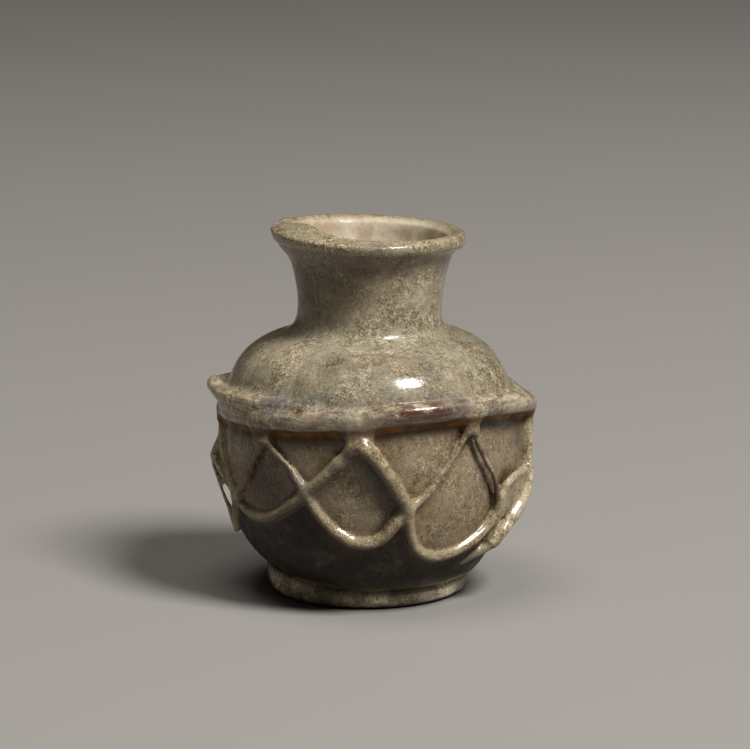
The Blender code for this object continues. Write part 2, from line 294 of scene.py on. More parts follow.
def look_up(plane, radius, height):
    """Values of a half-plane grid at radii and heights, blended between its four nearest points."""
    column = np.clip(radius / PLANE_STEP, 0, plane.shape[0] - 1.001)
    row = np.clip((height - PLANE_BOTTOM) / PLANE_STEP, 0, plane.shape[1] - 1.001)
    i = column.astype(np.int32)
    j = row.astype(np.int32)
    u = column - i
    v = row - j
    return ((1 - u) * ((1 - v) * plane[i, j] + v * plane[i, j + 1])
            + u * ((1 - v) * plane[i + 1, j] + v * plane[i + 1, j + 1]))


# %% Outlines of the glass and of the hollow
closing = FOOT_RADIUS - UNDERCUT
pad = smooth_curve((
    (FOOT_RADIUS - GROOVE, FOOT_HEIGHT),
    (FOOT_RADIUS - GROOVE * 0.5, FOOT_HEIGHT * 0.96),
    (FOOT_RADIUS - GROOVE * 0.1, FOOT_HEIGHT * 0.80),
    (FOOT_RADIUS, FOOT_HEIGHT * 0.55),
    (FOOT_RADIUS - FOOT_BEVEL * 0.25, FOOT_HEIGHT * 0.24),
    (FOOT_RADIUS - FOOT_BEVEL, 0.0),
), 6, False)
hollow = FOOT_RADIUS - FOOT_BEVEL - STAND_WIDTH
# the glass ends inside the rim's fold, and the hollow runs on well above it
glass_top = HEIGHT - 1.4 * MM
hollow_top = HEIGHT + 6 * MM
glass_line = [(0.0, glass_top)]
glass_line += wall_line(0.0, 0.0, closing, FOOT_RADIUS - GROOVE, FOOT_HEIGHT, glass_top)
glass_line += [tuple(point) for point in pad[1:]]
glass_line += [(hollow, 0.0), (hollow * 0.88, FOOT_HOLLOW * 0.6)]
glass_line += [(hollow * 0.6, FOOT_HOLLOW), (0.0, FOOT_HOLLOW)]
inner = closing - BODY_WALL
hollow_line = [(0.0, hollow_top), (RIM_RADIUS - NECK_WALL, hollow_top)]
hollow_line += wall_line(NECK_WALL, BODY_WALL, inner, inner + BODY_WALL / 2, FLOOR, HEIGHT)
hollow_line += [(inner * 0.8, FLOOR), (inner * 0.4, FLOOR + FLOOR_RISE * 0.7)]
hollow_line += [(0.0, FLOOR + FLOOR_RISE)]
glass_plane = outline_distance(glass_line)
hollow_plane = outline_distance(hollow_line)
belly = np.array([BELLY_RADIUS]), np.array([BELLY_HEIGHT])
belly_wall = look_up(hollow_plane, *belly) - look_up(glass_plane, *belly)
print("wall at the belly, mm:", round(float(belly_wall[0]) / MM, 2))

# %% [markdown]
# ## The folded rim and the shoulder trail
#
# Both are rings of hot glass whose section changes as they go round. Each ring is a table of
# stations by azimuth, 0 at the front and growing towards the right: where the section lies and
# how large it is. The trail's section is an oval. The rim's is a flat band with rounded corners,
# and it tilts, so the distance to it is worked out in its own tilted axes. The fold is wide on
# the left, where the lip was pushed in and left sloping.

# %% Ring tables
# azimuth, rise of the top above HEIGHT, width towards the axis, height of the band, tilt in degrees
RIM = (
    (-110, 0.9, 3.4, 2.4, 8),
    (-93, 1.1, 4.0, 2.3, 10),
    (-80, 1.6, 5.8, 2.3, 13),
    (-65, 1.85, 6.7, 2.2, 14),
    (-50, 1.6, 6.4, 2.0, 14),
    (-34, 1.1, 5.3, 2.0, 13),
    (-20, 0.8, 4.4, 2.0, 15),
    (0, 0.5, 3.7, 2.1, 17),
    (20, 0.3, 3.2, 2.2, 17),
    (45, 0.1, 2.8, 2.4, 14),
    (65, -0.1, 2.5, 2.6, 8),
    (90, -0.5, 2.3, 2.7, 6),
    (135, -0.6, 2.2, 2.7, 4),
    (180, -0.2, 2.2, 2.7, 4),
    (215, 0.4, 2.5, 2.6, 6),
)
RIM_CORNER = ((-160, 1.05), (-120, 0.7), (-60, 0.5), (0, 0.75), (60, 1.0), (120, 1.05))
# azimuth, height, reach out of the wall, height of the section
SHELF = (
    (-90, 35.9, 1.2, 3.8),
    (-60, 36.8, 1.9, 4.1),
    (-26, 37.7, 2.3, 3.9),
    (-6, 38.6, 2.6, 3.9),
    (20, 39.5, 2.7, 3.8),
    (47, 39.4, 3.2, 4.1),
    (70, 38.1, 4.0, 4.0),
    (90, 36.5, 4.4, 3.9),
    (130, 35.7, 3.6, 4.0),
    (180, 35.6, 2.6, 4.0),
    (230, 35.6, 1.6, 4.0),
)
SHELF_BITE = 0.9 * MM

rim_ring = smooth_curve(RIM, 12, True)
rim_ring[:, 1:4] *= MM
shelf_ring = smooth_curve(SHELF, 12, True)
shelf_ring[:, 1:] *= MM
rises = [round(float(pick(rim_ring[:, 1])) / MM, 2) for pick in (np.min, np.max)]
print("rim's rise, mm:", rises)


# %% Distances to the two sections
def oval_distance(out, up, half_width, half_height):
    """Distance to an oval section, near enough for melting, from a point's place in its axes."""
    near = np.hypot(out / half_width, up / half_height)
    steep = np.hypot(out / half_width ** 2, up / half_height ** 2)
    return near * (near - 1.0) / np.maximum(steep, 1e-9)


def slab_distance(out, up, half_width, half_height, corner):
    """Distance to a flat section with rounded corners, from a point's place in its axes."""
    past_side = np.abs(out) - half_width + corner
    past_top = np.abs(up) - half_height + corner
    beyond = np.hypot(np.maximum(past_side, 0.0), np.maximum(past_top, 0.0))
    return beyond + np.minimum(np.maximum(past_side, past_top), 0.0) - corner


# %% [markdown]
# ## Uneven, as breath and hand left it
#
# No radius on the real bottle is quite round. Before the half plane is looked up, each sample's
# radius is shifted by a few tenths of a millimetre that change slowly round and up the bottle,
# and the rim's rise is shared out over the neck. The foot pad was pressed on askew: it is thicker
# on the left than on the right. Under the left end of the rim the neck flares out early.

# %% Where each sample is
grid_x, grid_y, grid_z = np.meshgrid(block_x, block_y, block_z, indexing="ij")
across = grid_x - np.interp(grid_z, LEAN[:, 0], LEAN[:, 1] + AXIS_X).astype(np.float32)
behind = grid_y - np.float32(AXIS_Y)
azimuth = np.degrees(np.arctan2(across, -behind)).astype(np.float32)
radius = np.hypot(across, behind)
print("farthest sample from the axis, mm:", round(float(radius.max()) / MM, 1))

# %% The blown body in the block
# azimuth, rise of the pad's upper edge in mm
PAD = (
    (-90, 2.7), (-60, 1.7), (-35, 0.4), (0, -0.4), (40, -0.8), (90, -1.1), (150, -0.2),
    (210, 0.3), (240, 1.5),
)
# the early flare of the neck: how far out, its height and half height, azimuth and half width
FLANK_OUT = 1.2 * MM
FLANK_HEIGHT, FLANK_HALF_HEIGHT = 67.3, 1.9
FLANK_AZIMUTH, FLANK_HALF_TURN = -95, 45

turn = np.radians(azimuth)
up = grid_z / (70 * MM)
# slow waves, in mm, round the bottle and up it
unevenness = 0.10 * np.sin(2 * turn + 1.3 + 2.2 * up) + 0.07 * np.sin(3 * turn + 4.0 - 5.0 * up)
unevenness += 0.05 * np.sin(7 * turn + 9.0 * up + 0.6) + 0.05 * np.sin(21 * up + 2 * turn)
unevenness *= np.clip((grid_z - 2.0 * MM) / (5 * MM), 0.0, 1.0) * MM
neck_share = np.clip((grid_z - NECK_HEIGHT) / (HEIGHT - NECK_HEIGHT), 0.0, 1.2)
rise = on_ring(rim_ring, azimuth, 1) * neck_share
pad_ring = smooth_curve(PAD, 8, True)
pad_rise = on_ring(pad_ring, azimuth, 1) * MM
pad_rise *= (
    np.clip(grid_z / FOOT_HEIGHT, 0.0, 1.0)
    * np.clip(1.0 - (grid_z - FOOT_HEIGHT) / (10 * MM), 0.0, 1.0)
)
flank_turn = (azimuth + (180 - FLANK_AZIMUTH)) % 360 - 180
flank_up = (grid_z / MM - FLANK_HEIGHT) / FLANK_HALF_HEIGHT
flank = FLANK_OUT * np.exp(-flank_up ** 2 - (flank_turn / FLANK_HALF_TURN) ** 2)
wall = look_up(glass_plane, radius - unevenness - flank, grid_z - rise - pad_rise)
wall = wall.astype(np.float32)
cavity = look_up(hollow_plane, radius - unevenness, grid_z - rise).astype(np.float32)
blown = float(((wall < 0) & (cavity > 0)).sum()) * SAMPLE ** 3
print("glass in the blown body, cm3:", round(blown * 1e6, 1))

# %% [markdown]
# Every form that is laid on the body starts as a block in which nothing lies near. The rim and
# the trail only fill the slice of the block that they can reach, which saves time.

# %% Rim and trail in the block
FAR = 9 * MM


def empty_field():
    """A block in which nothing has been laid yet."""
    return np.full(wall.shape, FAR, np.float32)


def block_slice(bottom, top):
    """Index of the part of the block between two heights."""
    rows = np.nonzero((block_z > bottom) & (block_z < top))[0]
    return slice(None), slice(None), slice(rows[0], rows[-1] + 1)


rim = empty_field()
part = block_slice(62 * MM, 80 * MM)
width = on_ring(rim_ring, azimuth[part], 2)
band = on_ring(rim_ring, azimuth[part], 3)
tilt = np.radians(on_ring(rim_ring, azimuth[part], 4))
out = radius[part] - (RIM_RADIUS - width / 2)
lift = grid_z[part] - (HEIGHT + on_ring(rim_ring, azimuth[part], 1) - band / 2)
lift += np.sin(tilt) * width / 2
rim[part] = slab_distance(
    out * np.cos(tilt) - lift * np.sin(tilt),
    lift * np.cos(tilt) + out * np.sin(tilt),
    width / 2,
    band / 2,
    on_ring(np.array(RIM_CORNER), azimuth[part], 1) * MM,
)
shelf = empty_field()
part = block_slice(28 * MM, 47 * MM)
height = on_ring(shelf_ring, azimuth[part], 1)
reach = on_ring(shelf_ring, azimuth[part], 2)
depth = on_ring(shelf_ring, azimuth[part], 3)
wall_there = np.array([[a, wall_radius(h)] for a, h in shelf_ring[:, :2]])
centre = on_ring(wall_there, azimuth[part], 1) + (reach - SHELF_BITE) / 2
shelf[part] = oval_distance(
    radius[part] - centre, grid_z[part] - height, (reach + SHELF_BITE) / 2, depth / 2,
)
lowest, highest = [round(pick(shelf_ring[:, 1]) / MM, 1) for pick in (np.min, np.max)]
print("trail's middle, mm:", lowest, "to", highest)

# %% [markdown]
# ## Threads
#
# A thread is a chain of short round rods. Each rod only touches the samples near it, so a whole
# net costs little. Two zigzags run round the bottle and cross eight times: where one hangs from
# the shoulder trail the other makes a loop below. Their thickness changes from leg to leg,
# because the glassworker pulled some legs thin and let others sag. On the right they stand off
# the wall like small handles. A seeded wobble of a tenth of a millimetre keeps them from looking
# drawn with a ruler.
#
# Each row is a station: azimuth in degrees, then height, stand-off of the middle from the wall
# and radius, in millimetres.

# %% Zigzags
FIRST_ZIGZAG = (
    (-86, 33.4, 0.6, 0.50), (-81, 26.8, 0.5, 0.42), (-72.5, 23.2, 0.4, 0.46),
    (-65, 20.2, 0.4, 0.78), (-56, 18.3, 0.4, 0.90), (-46, 17.9, 0.4, 1.06),
    (-35.5, 20.1, 0.4, 0.96), (-24.5, 24.2, 0.4, 1.10), (-17.5, 27.2, 0.6, 1.10),
    (-11.2, 30.4, 0.9, 1.15), (-7.0, 32.8, 1.5, 1.20), (-3.4, 34.4, 2.1, 1.40),
    (0.2, 33.0, 2.0, 1.45), (4.7, 30.3, 1.7, 1.46), (8.8, 27.0, 1.4, 1.50),
    (12.3, 23.9, 1.1, 1.42), (15.3, 21.3, 0.7, 1.25), (16.5, 17.3, 0.4, 1.05),
    (19.8, 13.6, 0.4, 1.05), (27.7, 11.2, 0.4, 1.06), (40.9, 11.7, 0.4, 0.98),
    (53.9, 14.1, 0.5, 0.96), (63, 18.2, 0.8, 1.05), (63.8, 21.0, 0.9, 0.85),
    (66.8, 23.1, 1.4, 0.70), (73, 24.1, 1.9, 0.62), (80.6, 23.8, 2.4, 0.65),
    (85.5, 23.8, 2.9, 0.75), (87.4, 26.5, 3.05, 0.82), (88, 35.2, 3.0, 0.85),
    (88.6, 27.5, 3.05, 0.82), (89.2, 24.5, 3.1, 0.95), (90, 22.5, 3.0, 1.10),
    (104, 16.4, 1.0, 0.95), (122, 13.7, 0.4, 1.10), (153, 21.8, 0.6, 0.95),
    (178, 31.8, 1.5, 0.95), (203, 23.0, 0.5, 0.95), (229, 13.6, 0.4, 1.10),
    (250, 20.5, 1.0, 0.85), (268, 25.6, 2.1, 0.70), (271, 29.8, 0.9, 0.45),
)
SECOND_ZIGZAG = (
    (-82.6, 12.1, 0.4, 0.60), (-75, 14.6, 0.4, 0.66), (-65, 20.2, 0.4, 0.80),
    (-55.5, 24.2, 0.8, 0.56), (-50.4, 27.8, 0.9, 0.54), (-46.4, 30.6, 1.0, 0.54),
    (-42.2, 33.2, 1.2, 0.70), (-37.0, 31.5, 0.9, 0.52), (-30.6, 28.9, 0.9, 0.50),
    (-24.5, 24.2, 0.5, 1.00), (-20.2, 20.9, 0.4, 1.05), (-12.8, 17.0, 0.4, 1.05),
    (-4.5, 14.8, 0.4, 1.20), (5.6, 15.9, 0.4, 1.22), (15.3, 21.3, 0.5, 1.20),
    (22.5, 23.6, 0.1, 0.60), (29.2, 27.2, 0.1, 0.40), (35.3, 31.0, 0.3, 0.38),
    (41.3, 35.6, 1.1, 0.70), (47.2, 30.8, 1.0, 0.50), (53.1, 26.8, 1.0, 0.50),
    (58.3, 23.0, 1.0, 0.54), (63, 18.2, 0.8, 1.00), (62.2, 14.6, 0.8, 0.70),
    (61.4, 12.0, 1.2, 0.90), (63.2, 11.4, 1.8, 1.10), (65.6, 12.7, 2.1, 1.12),
    (70.8, 15.0, 2.5, 1.12), (76, 17.4, 3.1, 1.12), (81, 19.3, 3.4, 1.10),
    (88, 22.3, 3.3, 1.05), (97, 26.2, 2.9, 1.00), (108, 28.5, 2.2, 0.95),
    (132, 32.3, 2.1, 1.00), (153, 21.8, 0.6, 0.95), (174, 14.9, 0.4, 1.10),
    (203, 23.0, 0.5, 0.95), (230, 32.6, 1.0, 0.85), (252, 29.0, 1.1, 0.70),
    (268, 25.6, 2.1, 0.70), (276.8, 21.7, 1.5, 0.38), (275, 18.2, 1.0, 0.38),
    (275.9, 15.4, 0.5, 0.48),
)
print("stations of the zigzags:", len(FIRST_ZIGZAG), "and", len(SECOND_ZIGZAG))

# %% Loose ends
# tail of the shoulder trail, laid over its start
TAIL = (
    (-285, 38.6, 0.2, 0.78), (-260, 38.4, 0.9, 1.10), (-215, 38.3, 0.8, 1.20),
    (-150, 38.2, 0.9, 1.20), (-112, 38.5, 1.6, 1.30), (-90, 40.0, 2.5, 1.40),
    (-80, 39.3, 1.7, 1.45), (-70, 39.2, 1.2, 1.45), (-57, 39.7, 0.9, 1.30),
    (-44.9, 40.0, 0.6, 1.10), (-32.7, 40.2, 0.2, 0.90), (-22, 40.2, -0.5, 0.70),
)
# the lens where the trail was first touched down, on its upper edge
TOUCH_DOWN = (
    (0, 39.4, 1.2, 0.5), (10, 39.9, 1.7, 0.9), (22, 40.1, 2.0, 1.1), (32, 40.0, 1.9, 0.95),
    (40, 39.8, 1.4, 0.5),
)
# foot of the loop on the right, drawn back on to the wall
ANCHOR = (
    (63.2, 11.4, 1.6, 1.00), (59, 10.3, 0.9, 0.90), (54, 9.4, 0.1, 0.80), (49, 8.8, -0.5, 0.70),
)
# stray hair of glass on the left
STRAY = (
    (-92, 25.6, 2.1, 0.50), (-80.1, 25.2, 1.9, 0.38), (-75.6, 23.3, 1.2, 0.33),
    (-71.1, 21.4, 0.6, 0.34), (-66, 20.2, 0.4, 0.5),
)
# tops that hang from the trail, with half the spread in degrees as a fifth value
TOPS = (
    (-86, 33.4, 0.6, 0.50, 1.0), (-44.0, 33.3, 1.1, 0.85, 3.4), (-3.8, 33.2, 0.7, 1.30, 4.0),
    (42.0, 35.4, 1.2, 0.70, 2.6), (88, 35.0, 3.0, 0.85, 1.0), (132, 32.3, 2.1, 1.00, 2.5),
    (178, 31.8, 1.5, 1.00, 2.5), (230, 32.6, 1.0, 0.90, 2.5),
)
print("tops that hang from the trail:", len(TOPS))

# %% [markdown]
# Where two hot strands came close they drew a web of glass between them, and on the right the
# wall itself was pulled out to the strands. Both are sheets, so each is given by its two edges
# and filled with thin rods from one edge to the other.

# %% Webs and skins
WEBS = (
    (((64.5, 20.6, 0.7, 0.6), (70, 22.9, 1.3, 0.6), (79, 23.2, 2.1, 0.6), (86, 23.2, 2.7, 0.6)),
     ((66.5, 16.4, 0.9, 0.6), (74, 18.2, 1.7, 0.6), (80, 20.2, 2.4, 0.6), (87, 22.6, 2.7, 0.6))),
    (((63, 17.0, 0.3, 0.5), (62.3, 14.6, 0.4, 0.5), (62, 12.4, 0.5, 0.5)),
     ((71, 17.2, 0.3, 0.5), (67.5, 15.2, 0.1, 0.5), (64.4, 13.4, 0.1, 0.5))),
    (((-80, 32.0, -0.6, 0.5), (-78, 26.0, -0.6, 0.5), (-74, 21.0, -0.6, 0.5)),
     ((-88, 31.5, 0.0, 0.35), (-89, 26.0, 0.7, 0.35), (-83, 21.5, 0.6, 0.35))),
)
SKINS = (
    (((87.4, 24.0, 1.9, 0.45), (87.4, 30.7, 1.9, 0.45), (87.4, 37.0, 1.9, 0.45)),
     ((77, 23.5, -1.0, 0.50), (77, 30.7, -1.0, 0.50), (77, 37.0, -1.0, 0.50))),
    (((64, 11.3, 0.8, 0.5), (72, 14.8, 0.9, 0.5), (80, 18.2, 1.3, 0.5)),
     ((61, 9.4, -0.8, 0.6), (70, 12.5, -0.8, 0.6), (80, 15.5, -0.8, 0.6))),
)
print("webs:", len(WEBS), "skins:", len(SKINS))

# %% Lay a thread
ROD_REACH = 4.2 * MM
generator = np.random.default_rng(7)


def thread_place(point_azimuth, height, offset):
    """A point at an azimuth and height, standing off the wall."""
    angle = math.radians(point_azimuth)
    reach = wall_radius(height) + offset
    x = AXIS_X + np.interp(height, LEAN[:, 0], LEAN[:, 1])
    return np.array([x + reach * math.sin(angle), AXIS_Y - reach * math.cos(angle), height])


def lay_thread(field, stations, closed, wobble, thickness=None):
    """Lay a chain of round rods through stations of azimuth, height, stand-off and radius in mm.

    Where a block for thickness is given, it keeps the radius of the rod nearest to each sample.
    """
    fine = smooth_curve(stations, 6, closed)
    fine[:, 1:] *= MM
    if closed:
        fine = np.vstack([fine, fine[:1]])
    centres = np.array([thread_place(*row[:3]) for row in fine])
    radii = fine[:, 3].copy()
    # a drift smoothed over five points, so that it looks like a hand and not like noise
    drift = generator.normal(0.0, 1.0, (len(fine) + 4, 4))
    drift = (drift[:-4] + 2 * drift[1:-3] + 3 * drift[2:-2] + 2 * drift[3:-1] + drift[4:]) / 4.4
    drift[-1] = drift[0]
    centres += drift[:, :3] * wobble * MM
    radii *= 1.0 + drift[:, 3] * wobble
    for a, b, start, end in zip(centres, centres[1:], radii, radii[1:]):
        near = np.maximum(((np.minimum(a, b) - ROD_REACH - low) / SAMPLE).astype(int), 0)
        far = ((np.maximum(a, b) + ROD_REACH - low) / SAMPLE).astype(int)
        box = tuple(slice(n, f) for n, f in zip(near, far))
        gap_x = block_x[box[0], None, None] - a[0]
        gap_y = block_y[None, box[1], None] - a[1]
        gap_z = block_z[None, None, box[2]] - a[2]
        rod = b - a
        along = (gap_x * rod[0] + gap_y * rod[1] + gap_z * rod[2]) / max(1e-12, float(rod @ rod))
        along = np.clip(along, 0.0, 1.0)
        gap = np.sqrt((gap_x - along * rod[0]) ** 2
                      + (gap_y - along * rod[1]) ** 2
                      + (gap_z - along * rod[2]) ** 2)
        here = start + (end - start) * along
        gap -= here
        if thickness is not None:
            thickness[box] = np.where(gap < field[box], here, thickness[box])
        field[box] = np.minimum(field[box], gap)


# %% Lay the threads
CROSSING_MELT = 0.9 * MM
KNOT_MELT = 1.1 * MM
tail_field = empty_field()
lay_thread(tail_field, TAIL, False, 0.06)
lay_thread(tail_field, TOUCH_DOWN, False, 0.0)
laid = []
for stations in (FIRST_ZIGZAG, SECOND_ZIGZAG):
    zigzag = empty_field()
    thickness = np.full(wall.shape, MM, np.float32)
    lay_thread(zigzag, stations, True, 0.05, thickness)
    laid.append((zigzag, thickness))
thickness = np.where(laid[0][0] < laid[1][0], laid[0][1], laid[1][1])
strands = melt(laid[0][0], laid[1][0], CROSSING_MELT)
for stations in (STRAY, ANCHOR):
    lay_thread(strands, stations, False, 0.0, thickness)
print("samples in the strands:", int((strands < 0).sum()))

# %% Fill the knots and hang the tops
joins = empty_field()
skins = empty_field()
for field, pairs in ((joins, WEBS), (skins, SKINS)):
    for first_edge, second_edge in pairs:
        for row in zip(smooth_curve(first_edge, 8, False), smooth_curve(second_edge, 8, False)):
            lay_thread(field, row, False, 0.0)
for at, height, offset, thick, spread in TOPS:
    trail_there = float(on_ring(shelf_ring, at, 1)) / MM
    reach_there = float(on_ring(shelf_ring, at, 2)) / MM
    for side in (-1.0, -0.5, 0.0, 0.5, 1.0):
        foot = (at + side * spread * 0.6, height, offset, thick)
        head = (at + side * spread, trail_there - 0.6, max(offset, 0.55 * reach_there), thick)
        lay_thread(joins, (foot, head), False, 0.0)
threads = melt(strands, joins, KNOT_MELT)
print("samples in the threads:", int((threads < 0).sum()))

# %% [markdown]
# ## Melt, then hollow out
#
# Thick hot trails melt in with a wide hollow curve, thin threads with a small one, so the
# softness follows the thickness of the nearest thread. The trail's upper edge lies crisper on
# the shoulder at the front, and its lower edge softer.
#
# The cavity is then cut away, so nothing that was laid on reaches inside, and the rim's fold is
# added last, because it closes over the mouth. Its left end is blunt, and a few chips are
# bitten out of it.

# %% Melt the trail and the threads in
TAIL_MELT = 1.5
SKIN_MELT = 3.0 * MM
trail = melt(shelf, tail_field, TAIL_MELT * MM)
above = np.clip((grid_z - on_ring(shelf_ring, azimuth, 1)) / MM, -1.5, 1.5) / 1.5
crisp_azimuths = (-180, -60, -25, 0, 60, 110, 180)
crisp = np.interp(azimuth, crisp_azimuths, (2.0, 2.0, 2.0, 0.8, 0.8, 2.0, 2.0))
outside = melt(wall, trail, ((TAIL_MELT + (crisp - TAIL_MELT) * above) * MM).astype(np.float32))
for axis in (0, 1, 2):
    thickness = (np.roll(thickness, 2, axis) + thickness + np.roll(thickness, -2, axis)) / 3
threads_in_wall = melt(melt(wall, skins, SKIN_MELT), threads, 0.75 * thickness)
beside = np.clip(1.0 - trail / (3 * MM), 0.0, 1.0) * np.clip(2.0 - threads / MM, 0.0, 1.0)
outside = melt(outside, threads_in_wall, (2.0 * beside + 0.04) * MM)
glass = np.maximum(outside, -cavity)
print("glass without the rim, cm3:", round(float((glass < 0).sum()) * SAMPLE ** 3 * 1e6, 1))

# %% Close the mouth with the fold
fold_azimuths = (-180, -135, -100, -60, 20, 60, 120, 180)
fold_melt = np.interp(azimuth, fold_azimuths, (3.4, 2.4, 1.2, 0.7, 0.7, 1.8, 3.4, 3.4))
glass = melt(glass, rim, fold_melt.astype(np.float32) * MM)
# azimuth, height, distance from the axis, radius: the blunt end of the fold, then the chips
LUMPS = ((-112, 69.9, 16.9, 1.25),)
CHIPS = (
    (-99, 71.1, 17.6, 0.65), (-91, 70.9, 18.2, 0.5), (-60, 72.6, 14.6, 0.5), (24, 69.9, 19.1, 0.5),
)


def ball(at, height, reach, size):
    """Distance to a small ball placed by azimuth, height and distance from the axis in mm."""
    angle = math.radians(at)
    gap = np.sqrt((grid_x - AXIS_X - reach * MM * math.sin(angle)) ** 2
                  + (grid_y - AXIS_Y + reach * MM * math.cos(angle)) ** 2
                  + (grid_z - height * MM) ** 2)
    return gap - size * MM


for row in LUMPS:
    glass = melt(glass, ball(*row), 0.8 * MM)
for row in CHIPS:
    glass = -melt(-glass, ball(*row), 0.5 * MM)
print("glass in all, cm3:", round(float((glass < 0).sum()) * SAMPLE ** 3 * 1e6, 1))

# %% [markdown]
# The skin is drawn where the field is zero. Only a thin band of samples on both sides of it is
# handed over, and the tool that draws it works in steps of one sample.

# %% Draw the skin
BAND = 3 * SAMPLE
volume = openvdb.FloatGrid(BAND)
volume.copyFromArray(np.clip(glass, -BAND, BAND).astype(np.float32))
points, quads = volume.convertToQuads(isovalue=0.0)
points = low + points * SAMPLE
mesh = bpy.data.meshes.new("glass_skin")
mesh.from_pydata(points, [], quads)
bottle = bpy.data.objects.new("weathered_bottle", mesh)
bpy.context.scene.collection.objects.link(bottle)
print("skin:", len(points), "points,", 2 * len(quads), "triangles")

# %% [markdown]
# ## Fewer triangles where nobody looks
#
# The skin has more triangles than it needs, most of them inside the body, where the crust is
# smooth and the light doesn't reach. A vertex group marks those hidden walls and the underside,
# and a first pass of collapsing thins only them. A second, gentle pass thins the rest to the
# number that a reusable part may have.

# %% Find the hidden walls
def sample_field(field, places):
    """Values of a block at places between its samples."""
    spot = np.clip((places - low) / SAMPLE, 0, np.array(field.shape) - 1.001)
    i = spot.astype(int)
    f = spot - i
    total = np.zeros(len(places))
    for corner in range(8):
        step = np.array([corner & 1, corner >> 1 & 1, corner >> 2])
        weight = np.prod(np.where(step, f, 1 - f), axis=1)
        j = i + step
        total += weight * field[j[:, 0], j[:, 1], j[:, 2]]
    return total


INSIDE_SEEN_FROM = 60 * MM
UNDERSIDE_RADIUS, UNDERSIDE_HEIGHT = 17 * MM, 1.6 * MM
from_axis = np.hypot(points[:, 0] - AXIS_X, points[:, 1] - AXIS_Y)
hidden = (sample_field(cavity, points) < 0.6 * MM) & (points[:, 2] < INSIDE_SEEN_FROM)
hidden |= (points[:, 2] < UNDERSIDE_HEIGHT) & (from_axis < UNDERSIDE_RADIUS)
group = bottle.vertex_groups.new(name="hidden")
group.add([int(i) for i in np.nonzero(hidden)[0]], 1.0, "REPLACE")
print("hidden share of the points:", round(float(hidden.mean()), 2))

# %% Thin the skin
TRIANGLES = 190000


def thin(keep, only_hidden):
    """Collapse triangles down to a share of their number."""
    collapse = bottle.modifiers.new("Thin", "DECIMATE")
    collapse.ratio = keep
    collapse.use_collapse_triangulate = True
    if only_hidden:
        collapse.vertex_group = "hidden"
        collapse.vertex_group_factor = 10.0
    seen = bottle.evaluated_get(bpy.context.evaluated_depsgraph_get())
    bottle.data = bpy.data.meshes.new_from_object(seen)
    bottle.modifiers.clear()
    return len(bottle.data.polygons)


TAKEN_FROM_HIDDEN = 0.88
left = thin(1.0 - TAKEN_FROM_HIDDEN * float(hidden.mean()), True)
print("triangles after the hidden walls:", left)
left = thin(min(1.0, TRIANGLES / left), False)
print("triangles left:", left)
bottle.data.name = "glass_skin"
bottle.vertex_groups.clear()
bottle.data.shade_smooth()

# %% [markdown]
# ## Where each finish sits
#
# The finish isn't the same everywhere: brown soil stays in the creases beside the threads, the
# tops of the threads are rubbed pale, amber glass shows through under the trail. Some masks also
# carry painted light and shade: shaded flanks and creases, shadow below the trail, light through
# the amber. The fields know where those places are, so their values are kept on the skin's points
# as masks for the material.

# %% Read the fields on the skin
count = len(bottle.data.vertices)
places = np.empty(count * 3, np.float32)
bottle.data.vertices.foreach_get("co", places)
places = places.reshape(-1, 3).astype(float)
facing = np.empty(count * 3, np.float32)
bottle.data.vertices.foreach_get("normal", facing)
facing = facing.reshape(-1, 3)
at_wall, at_trail, at_threads, at_strands, at_cavity, at_rim = [
    sample_field(field, places) for field in (wall, trail, threads, strands, cavity, rim)
]
at_azimuth = np.degrees(np.arctan2(places[:, 0] - AXIS_X, AXIS_Y - places[:, 1]))
at_radius = np.hypot(places[:, 0] - AXIS_X, places[:, 1] - AXIS_Y)
at_height = places[:, 2] / MM
print("points on the skin:", count)

# %% Helpers for masks
kept_masks = []


def ramp(values, start, end):
    """0 at start, 1 at end, eased between."""
    share = np.clip((values - start) / (end - start), 0.0, 1.0)
    return share * share * (3 - 2 * share)


def spots(rows):
    """Soft oval patches: azimuth, height, half width in degrees, half height in mm, strength."""
    total = np.zeros(count)
    for at, height, half_turn, half_height, strength in rows:
        turn_away = (at_azimuth - at + 180) % 360 - 180
        up_away = at_height - height
        patch = np.exp(-(turn_away / half_turn) ** 2 - (up_away / half_height) ** 2)
        total = np.maximum(total, strength * patch)
    return total * (at_cavity > 0.8 * MM)


def keep_mask(name, values):
    """Store one mask on the skin's points."""
    layer = bottle.data.attributes.new(name, "FLOAT", "POINT")
    layer.data.foreach_set("value", values.astype(np.float32))
    kept_masks.append(name)
    print("mask", name, "mean", round(float(values.mean()), 3))


# %% [markdown]
# ### What was laid on
#
# The lining is everything behind the rim's inner edge. Threads and trail fade out a third of a
# millimetre off their own form, so their colour ends in the hollow curve beside them and not on
# the wall. The flanks of the threads that face down to the left get painted shade, and the wall
# below and to the left of a thick strand gets a painted shadow, as if the key light cast it.

# %% Masks of lining, threads, trail and rim
at_back = ramp(np.abs(at_azimuth - 10), 75, 110)
rim_top = places[:, 2] - HEIGHT - on_ring(rim_ring, at_azimuth, 1)
lip = at_back * ramp(-rim_top, 0.2 * MM, 0.7 * MM)
inside = ramp(-at_cavity, -0.5 * MM, 0.0) * np.maximum(ramp(at_rim, 0.1 * MM, 0.9 * MM), lip)
outdoors = 1 - inside
on_thread = ramp(-at_threads, -0.35 * MM, 0.0)
keep_mask("inside", inside)
keep_mask("thread", on_thread * outdoors)
keep_mask("trail", ramp(-at_trail, -0.35 * MM, 0.0) * outdoors)
keep_mask("rim", ramp(-at_rim, -0.5 * MM, 0.1 * MM) * outdoors)
# painted shade on the thread flanks that face down and left, away from the key light
facing_from_light = facing @ np.array([-0.45, 0.0, -0.89])
flanks = ramp(facing_from_light, 0.0, 0.6) * on_thread * ramp(at_azimuth, -70, -45)
